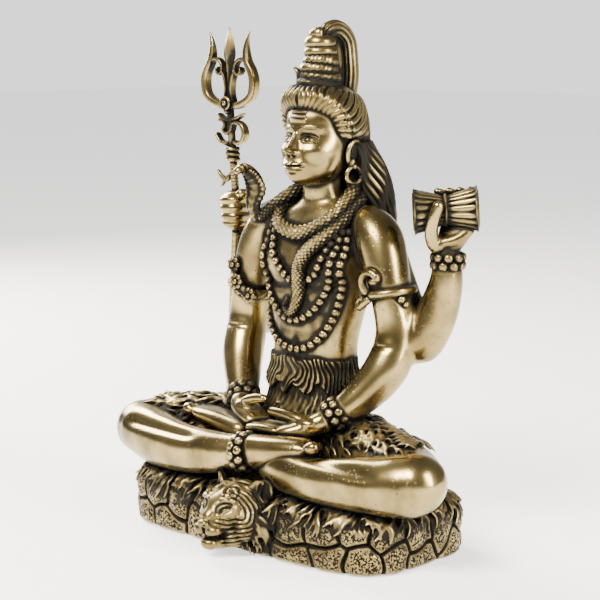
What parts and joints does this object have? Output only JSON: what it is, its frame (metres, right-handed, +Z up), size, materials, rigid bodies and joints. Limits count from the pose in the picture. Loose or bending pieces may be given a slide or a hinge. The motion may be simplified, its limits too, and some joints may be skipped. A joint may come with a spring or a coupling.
{
  "type": "shiva figure",
  "caption": "Small cast brass figure of Shiva seated cross-legged on a tiger skin over rock, with raised drum and trident.",
  "frame": {"origin": "on the flat underside of the rock slab, below the slab's centre", "axes": "+Z up, the figure faces -Y, and its own left side is towards +X"},
  "size_m": [0.1136, 0.066, 0.1425],
  "materials": {
    "casting": "polished antique brass, dark in the recesses",
    "trident": "polished antique brass, dark in the recesses"
  },
  "bodies": {
    "root": {"seated_figure": "casting", "trident": "trident"}
  },
  "joints": []
}
